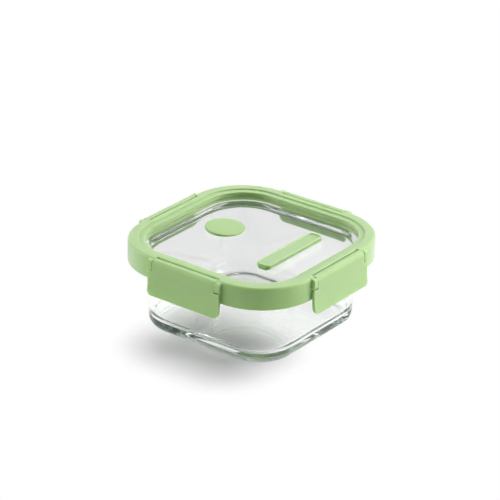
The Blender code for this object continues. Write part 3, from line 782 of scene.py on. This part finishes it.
def make_window(look):
    """Clear plate held in the frame's groove, with two vent holes and the lever's hinge lug."""
    rim = WINDOW_HALF - WINDOW_ROUND
    edge = arc((rim, WINDOW_BOTTOM + WINDOW_ROUND), WINDOW_ROUND, -90, 0, WINDOW_STEPS)
    edge += arc((rim, WINDOW_TOP - WINDOW_ROUND), WINDOW_ROUND, 0, 90, WINDOW_STEPS)
    levels = [(OPENING_HALF, WINDOW_BOTTOM)] + edge + [(OPENING_HALF, WINDOW_TOP)]
    piece = new_piece("lid_pane", square_skin(levels, closed=False))
    lug_foot = WINDOW_TOP - WINDOW_THICK / 2
    middle, height = LEVER_HINGE.y, LEVER_HINGE.z
    points = [(middle - LUG_RADIUS, lug_foot), (middle + LUG_RADIUS, lug_foot)]
    points += arc((middle, height), LUG_RADIUS, 0, 180, LUG_STEPS)
    first, last = LEVER_HINGE.x - LUG_WIDTH / 2, LEVER_HINGE.x + LUG_WIDTH / 2
    combine(piece, [prism(points, "X", first, last)], "UNION")
    low, high = WINDOW_BOTTOM - WINDOW_THICK, WINDOW_TOP + WINDOW_THICK
    holes = [rod("Z", PLUG_CENTRE.xy, PLUG_STEM_RADIUS + FIT_GAP, low, high, PLUG_HOLE_SIDES)]
    holes.append(rod("Z", PAD_CENTRE.xy, NUB_RADIUS + VENT_CLEARANCE, low, high, VENT_SIDES))
    combine(piece, holes, "DIFFERENCE")
    eye_low, eye_high = first - LUG_WIDTH, last + LUG_WIDTH
    eye = rod("X", (middle, height), LUG_EYE_RADIUS, eye_low, eye_high, PIN_SIDES)
    combine(piece, [eye], "DIFFERENCE")
    return finish_piece(piece, look, "lid", "lid_window", WINDOW_SOFT_EDGE)


def make_seal(look):
    """Silicone ring in the frame's channel, with a narrow lip that presses on the bowl's rim."""
    inner, outer = CHANNEL_INNER + SEAT_GAP, CHANNEL_OUTER - SEAT_GAP
    middle = (inner + outer) / 2
    lip = SEAL_LIP_WIDTH / 2
    foot, top = SEAL_LOW.z, SEAL_HIGH.z
    shoulder = foot + SEAL_LIP_HEIGHT
    corners = [
        (outer, shoulder, SEAL_ROUND),
        (outer, top, SEAL_ROUND),
        (inner, top, SEAL_ROUND),
        (inner, shoulder, SEAL_ROUND),
        (middle - lip, shoulder, SEAL_ROUND / 2),
        (middle - lip, foot, SEAL_LIP_ROUND),
        (middle + lip, foot, SEAL_LIP_ROUND),
        (middle + lip, shoulder, SEAL_ROUND / 2),
    ]
    levels = rounded(corners, SECTION_STEPS)
    piece = new_piece("lid_gasket", square_skin(levels, closed=True))
    return finish_piece(piece, look, "lid", "lid_seal")


def clip_reach(height):
    """How far a clip's outer face stands out from its pivot, at a height under the pivot."""
    share = max(0.0, 1.0 - (height + CLIP_DROP) / FLARE_LENGTH)
    return BARREL_RADIUS + CLIP_FLARE * share ** 2


def clip_section():
    """Side view of a clip from its pivot: a plate under a barrel that is squared towards the slot."""
    heights = [FLARE_LENGTH * step / FLARE_STEPS - CLIP_DROP for step in range(FLARE_STEPS + 1)]
    outer = [(clip_reach(height), height) for height in heights]
    inner = [(reach - CLIP_PLATE, height) for reach, height in reversed(outer)]
    meet = BARREL_RADIUS - CLIP_PLATE
    last = 360.0 - math.degrees(math.acos(meet / BARREL_RADIUS))
    barrel = arc((0.0, 0.0), BARREL_RADIUS, 0, 90, BARREL_FRONT_STEPS)
    barrel += arc((-BARREL_SQUARE, BARREL_SQUARE), BARREL_CORNER, 90, 180, BARREL_CORNER_STEPS)
    barrel += arc((0.0, 0.0), BARREL_RADIUS, 180, last, BARREL_BACK_STEPS)
    return outer + barrel + inner


def clip_outline():
    """Front view of a clip: narrow between the ears and full length below them."""
    above = BARREL_RADIUS + CUT_MARGIN
    low = CLIP_CORNER - CLIP_DROP
    right = arc((CLIP_HALF - CLIP_CORNER, low), CLIP_CORNER, -90, 0, CLIP_CORNER_STEPS)
    right += [(CLIP_HALF, -CLIP_SHOULDER), (CLIP_NECK, -CLIP_SHOULDER), (CLIP_NECK, above)]
    return mirrored(right)


def catch_section():
    """Hook on the inside of a clip that closes in under the bowl's rim."""
    tip = RIM_HALF + FIT_GAP - PIVOT_HALF
    top = CATCH_TOP - PIVOT_Z
    bottom = top - CATCH_HEIGHT
    inside = CLIP_PLATE / 2
    section = [(clip_reach(top) - inside, top), (tip, top), (tip, top - CATCH_HEIGHT / 2)]
    return section + [(clip_reach(bottom) - inside, bottom)]


def make_clip(side, turn, look):
    """One clip with its barrel, end pins and catch."""
    place = side_matrix(turn) @ Matrix.Translation((0.0, PIVOT_HALF, PIVOT_Z))
    beyond = CLIP_HALF + CUT_MARGIN
    piece = new_piece(side + "_clip_plate", prism(clip_section(), "X", -beyond, beyond))
    reach = BARREL_RADIUS + CLIP_FLARE + CUT_MARGIN
    combine(piece, [prism(clip_outline(), "Y", -reach, reach)], "INTERSECT")
    half = CATCH_LENGTH / 2
    shapes = [prism(catch_section(), "X", -half, half)]
    for end in (-1, 1):
        low, high = run_on(end, CLIP_NECK - PIN_RADIUS, PIN_END)
        shapes.append(rod("X", (0.0, 0.0), PIN_RADIUS, low, high, PIN_SIDES))
    combine(piece, shapes, "UNION")
    piece.data.transform(place)
    return finish_piece(piece, look, side + "_clip", "clip_" + side, CLIP_ROUND)


def make_plug(look):
    """Round vent plug: a cap, thicker at one edge, on a stem that fills its hole."""
    foot = WINDOW_TOP + FIT_GAP
    top = foot + PLUG_CAP
    edge = (PLUG_CAP - PLUG_CROWN) / 2
    profile = []
    for step in range(PLUG_STEPS):
        share = step / PLUG_STEPS
        profile.append(((PLUG_RADIUS - edge) * share, top - PLUG_CROWN * share ** 2))
    profile += arc((PLUG_RADIUS - edge, foot + edge), edge, 90, -90, PLUG_STEPS)
    profile.append((PLUG_STEM_RADIUS, foot))
    profile += arc((PLUG_STEM_RADIUS - edge, PLUG_LOW.z + edge), edge, 0, -90, STEM_STEPS)
    profile.append((0.0, PLUG_LOW.z))
    shape = turned(profile, PLUG_SIDES)
    thick_side = Vector((math.cos(PLUG_LEAN_TURN), math.sin(PLUG_LEAN_TURN), 0.0)) / PLUG_RADIUS
    for vert in shape.verts:
        above = max(0.0, vert.co.z - foot)
        vert.co.z += above * PLUG_LEAN * thick_side.dot(vert.co)
    place = Matrix.Translation((PLUG_CENTRE.x, PLUG_CENTRE.y, 0.0))
    piece = new_piece("vent_button", placed(shape, place))
    return finish_piece(piece, look, "plug", "vent_plug")


def lever_outline(side_inset, end_inset):
    """Top view of the lever from its hinge, drawn in at its sides and at its front end."""
    corner = max(LEVER_CORNER - side_inset, LEAST_CORNER)
    front = (LEVER_WIDTH / 2 - side_inset - corner, corner + end_inset - LEVER_REACH)
    right = arc(front, corner, -90, 0, LEVER_CORNER_STEPS)
    tail = (LEVER_WIDTH / 2 - TAIL_CORNER, LEVER_TAIL - TAIL_CORNER)
    right += arc(tail, TAIL_CORNER - side_inset, 0, 90, TAIL_STEPS)
    return mirrored(right)


def lever_ring(side_inset, end_inset, height, sunk=0.0):
    """One ring of the lever's skin; sunk is how much of the dish's depth it takes."""
    ring = []
    for across, along in lever_outline(side_inset, end_inset):
        share = max(0.0, -along / LEVER_REACH)
        depth = DISH_DEPTH + (DISH_FRONT_DEPTH - DISH_DEPTH) * share
        ring.append(Vector((across, along, height - depth * sunk)))
    return ring


def ease(share):
    """A share from 0 to 1 that starts and stops softly."""
    return share * share * (3.0 - 2.0 * share)


def lever_rings():
    """Rings of the lever's skin, up its round belly, over its edge and down into its dish."""
    side = LEVER_TOP - LEVER_SIDE
    rings = []
    for step in range(BELLY_STEPS + 1):
        angle = math.pi / 2 * step / BELLY_STEPS
        inset = (LEVER_WIDTH / 2 - KEEL_HALF) * (1.0 - math.sin(angle))
        rings.append(lever_ring(inset, 0.0, side + (LEVER_BOTTOM - side) * math.cos(angle)))
    edge = arc((LEVER_EDGE, LEVER_TOP - LEVER_EDGE), LEVER_EDGE, 180, 90, LEVER_EDGE_STEPS)
    rings += [lever_ring(inset, inset, height) for inset, height in edge]
    for step in range(DISH_STEPS + 1):
        share = step / DISH_STEPS
        inset = DISH_START + DISH_SLOPE * share
        rings.append(lever_ring(inset, inset, LEVER_TOP, ease(share)))
    rings.append(lever_ring(DISH_FLOOR, DISH_FLOOR, LEVER_TOP, 1.0))
    return rings


def make_lever(look):
    """Vent lever: a dished bar with a round belly, forked over its lug at the hinge."""
    piece = new_piece("vent_bar", skin(lever_rings(), closed=False))
    half = LEVER_WIDTH / 2
    below = LEVER_BOTTOM - CUT_MARGIN
    beyond = LEVER_TAIL + CUT_MARGIN
    tail = LEVER_TOP - TAIL_EDGE
    swing = arc((0.0, 0.0), TAIL_SWING, -90, 0, SWING_STEPS)
    swing += [(LEVER_TAIL, tail), (beyond, tail), (beyond, below), (0.0, below)]
    combine(piece, [prism(swing, "X", -half, half)], "DIFFERENCE")
    gap_half = LUG_WIDTH / 2 + FIT_GAP
    gap = [(-FORK_ROOM, below), (beyond, below), (beyond, FORK_ROOM), (-FORK_ROOM, FORK_ROOM)]
    combine(piece, [prism(gap, "X", -gap_half, gap_half)], "DIFFERENCE")
    pad_along = PAD_CENTRE.y - LEVER_HINGE.y
    pad_top = LEVER_BOTTOM + PAD_HEIGHT
    bores = [rod("X", (0.0, 0.0), EYE_RADIUS, -half, half, PIN_SIDES)]
    bores.append(rod("Z", (0.0, pad_along), PAD_RADIUS + SEAT_GAP, below, pad_top, VENT_SIDES))
    combine(piece, bores, "DIFFERENCE")
    piece.data.transform(Matrix.Translation(LEVER_HINGE))
    return finish_piece(piece, look, "lever", "vent_lever", LEVER_SOFT_EDGE)


def make_lever_pin(look):
    """Pin through the lever's fork and the window's lug, with broken edges."""
    half = (PIN_HIGH.x - PIN_LOW.x) / 2
    end = LEVER_PIN_RADIUS - PIN_BREAK
    profile = [(0.0, half), (end, half), (LEVER_PIN_RADIUS, half - PIN_BREAK)]
    profile += [(LEVER_PIN_RADIUS, PIN_BREAK - half), (end, -half), (0.0, -half)]
    place = Matrix.Translation(LEVER_HINGE) @ Matrix.Rotation(math.pi / 2, 4, "Y")
    piece = new_piece("bar_pin", placed(turned(profile, PIN_SIDES), place))
    return finish_piece(piece, look, "lever", "lever_pin")


def make_pad(look):
    """Silicone pad in the lever's keel, with a nub that closes the vent hole."""
    foot = PAD_LOW.z + NUB_LENGTH
    side, nub_side = PAD_RADIUS - PAD_ROUND, NUB_RADIUS - PAD_ROUND
    profile = [(0.0, PAD_HIGH.z)]
    profile += arc((side, PAD_HIGH.z - PAD_ROUND), PAD_ROUND, 90, 0, PAD_STEPS)
    profile += arc((side, foot + PAD_ROUND), PAD_ROUND, 0, -90, PAD_STEPS)
    profile.append((NUB_RADIUS, foot))
    profile += arc((nub_side, PAD_LOW.z + PAD_ROUND), PAD_ROUND, 0, -90, PAD_STEPS)
    profile.append((0.0, PAD_LOW.z))
    place = Matrix.Translation((PAD_CENTRE.x, PAD_CENTRE.y, 0.0))
    piece = new_piece("bar_pad", placed(turned(profile, PAD_SIDES), place))
    return finish_piece(piece, look, "lever", "vent_pad")


def aim(item, target, roll=0.0):
    """Turns a camera or a lamp so that it looks at a point, with a roll about its line of sight."""
    upright = (target - item.location).to_track_quat("-Z", "Y")
    item.rotation_euler = (upright @ Quaternion((0.0, 0.0, 1.0), roll)).to_euler()


def make_camera():
    """The picture's camera, with a long lens and no shift."""
    data = bpy.data.cameras.new("camera")
    data.lens = CAMERA_LENS
    data.sensor_width = CAMERA_SENSOR
    data.clip_end = CAMERA_SIGHT
    camera = bpy.data.objects.new("camera", data)
    camera.location = CAMERA_TARGET + BACK * CAMERA_DISTANCE
    aim(camera, CAMERA_TARGET + BACK.cross(RIGHT) * AIM_ABOVE - RIGHT * AIM_LEFT, CAMERA_ROLL)
    bpy.context.scene.collection.objects.link(camera)
    bpy.context.scene.camera = camera


def add_lamp(name, place, size, power):
    """A square soft lamp that looks at the object."""
    data = bpy.data.lights.new(name, "AREA")
    data.size = size
    data.energy = power
    lamp = bpy.data.objects.new(name, data)
    lamp.location = place
    aim(lamp, LAMP_TARGET)
    bpy.context.scene.collection.objects.link(lamp)


def shown_to_eye(tree):
    """A node that gives 1 for rays that the eye follows: straight, mirrored or through glass."""
    path = tree.nodes.new("ShaderNodeLightPath")
    mirrored = tree.nodes.new("ShaderNodeMath")
    mirrored.operation = "MAXIMUM"
    connect(tree, path, "Is Camera Ray", mirrored, 0)
    connect(tree, path, "Is Glossy Ray", mirrored, 1)
    through = tree.nodes.new("ShaderNodeMath")
    through.operation = "MAXIMUM"
    connect(tree, mirrored, 0, through, 0)
    connect(tree, path, "Is Transmission Ray", through, 1)
    return through


def make_world():
    """Room whose walls the eye sees white low down and darker above, and a weak even light on the object."""
    world = bpy.data.worlds.new("surroundings")
    world.use_nodes = True
    tree = world.node_tree
    light = tree.nodes["Background"]
    light.inputs["Color"].default_value = ROOM_LIGHT_COLOUR
    light.inputs["Strength"].default_value = ROOM_LIGHT
    room = tree.nodes.new("ShaderNodeBackground")
    room.inputs["Color"].default_value = WHITE
    way = tree.nodes.new("ShaderNodeTexCoord")
    parts = tree.nodes.new("ShaderNodeSeparateXYZ")
    connect(tree, way, "Generated", parts, "Vector")
    fade = remap(tree, parts, "Z", WALL_RISE, WALL_BRIGHTNESS)
    fade.interpolation_type = "SMOOTHSTEP"
    connect(tree, fade, "Result", room, "Strength")
    choose = mix_shaders(tree, shown_to_eye(tree), 0, light, room)
    connect(tree, choose, "Shader", tree.nodes["World Output"], "Surface")
    bpy.context.scene.world = world


def vector_step(tree, operation, source, output):
    """A vector node that works on another node's output."""
    step = tree.nodes.new("ShaderNodeVectorMath")
    step.operation = operation
    connect(tree, source, output, step, 0)
    return step


def floor_look():
    """Paper that shows the shadow in one zone of the floor, painted darker there to the eye than to bounced
    light as painted shade that deepens the real shadow, and is plain white to the eye further out.
    """
    look = bpy.data.materials.new("floor_look")
    look.use_nodes = True
    tree = look.node_tree
    tree.nodes.remove(tree.nodes["Principled BSDF"])
    # The eye sees darker paper than bounced light does: painted shade over the real shadow in the zone
    paper = tree.nodes.new("ShaderNodeBsdfDiffuse")
    paper.inputs["Color"].default_value = PAINTED_SHADE_PAPER
    unseen = tree.nodes.new("ShaderNodeBsdfDiffuse")
    unseen.inputs["Color"].default_value = LIT_PAPER
    white = tree.nodes.new("ShaderNodeEmission")
    white.inputs["Color"].default_value = WHITE
    white.inputs["Strength"].default_value = 1.0
    place = tree.nodes.new("ShaderNodeTexCoord")
    across = vector_step(tree, "ABSOLUTE", place, "Object")
    outside = vector_step(tree, "SUBTRACT", across, 0)
    outside.inputs[1].default_value = SHADOW_HALF
    beyond = vector_step(tree, "MAXIMUM", outside, 0)
    distance = vector_step(tree, "LENGTH", beyond, 0)
    share = remap(tree, distance, "Value", (0.0, SHADOW_FADE), (0.0, 1.0))
    share.interpolation_type = "SMOOTHSTEP"
    seen = mix_shaders(tree, share, "Result", paper, white)
    choose = mix_shaders(tree, shown_to_eye(tree), 0, unseen, seen)
    connect(tree, choose, "Shader", tree.nodes["Material Output"], "Surface")
    return look


def make_floor():
    """A large plain floor just under the bowl."""
    shape = bmesh.new()
    corners = [Vector((x, y, 0.0)) * FLOOR_REACH for x, y in ((-1, -1), (1, -1), (1, 1), (-1, 1))]
    shape.faces.new([shape.verts.new(corner - UP * FLOOR_DROP) for corner in corners])
    mesh = bpy.data.meshes.new("floor")
    shape.to_mesh(mesh)
    shape.free()
    mesh.materials.append(floor_look())
    floor = bpy.data.objects.new("floor", mesh)
    floor.location = SHADOW_CENTRE
    bpy.context.scene.collection.objects.link(floor)


def make_object():
    """All twelve pieces, each on its body."""
    plastic = green_plastic()
    soft = pale_silicone()
    make_bowl(bowl_glass())
    make_frame(plastic)
    make_window(clear_plastic())
    make_seal(soft)
    for side, turn in SIDES:
        make_clip(side, turn, plastic)
    make_plug(green_silicone())
    make_lever(plastic)
    make_lever_pin(steel())
    make_pad(soft)


make_object()
make_camera()
make_world()
make_floor()
for lamp in LAMPS:
    add_lamp(*lamp)
bpy.context.scene.view_settings.view_transform = "Standard"
bpy.context.scene.cycles.max_bounces = LIGHT_BOUNCES
bpy.context.scene.cycles.glossy_bounces = LIGHT_BOUNCES
bpy.context.scene.cycles.transmission_bounces = LIGHT_BOUNCES
bpy.context.scene.cycles.transparent_max_bounces = CLEAR_PASSES
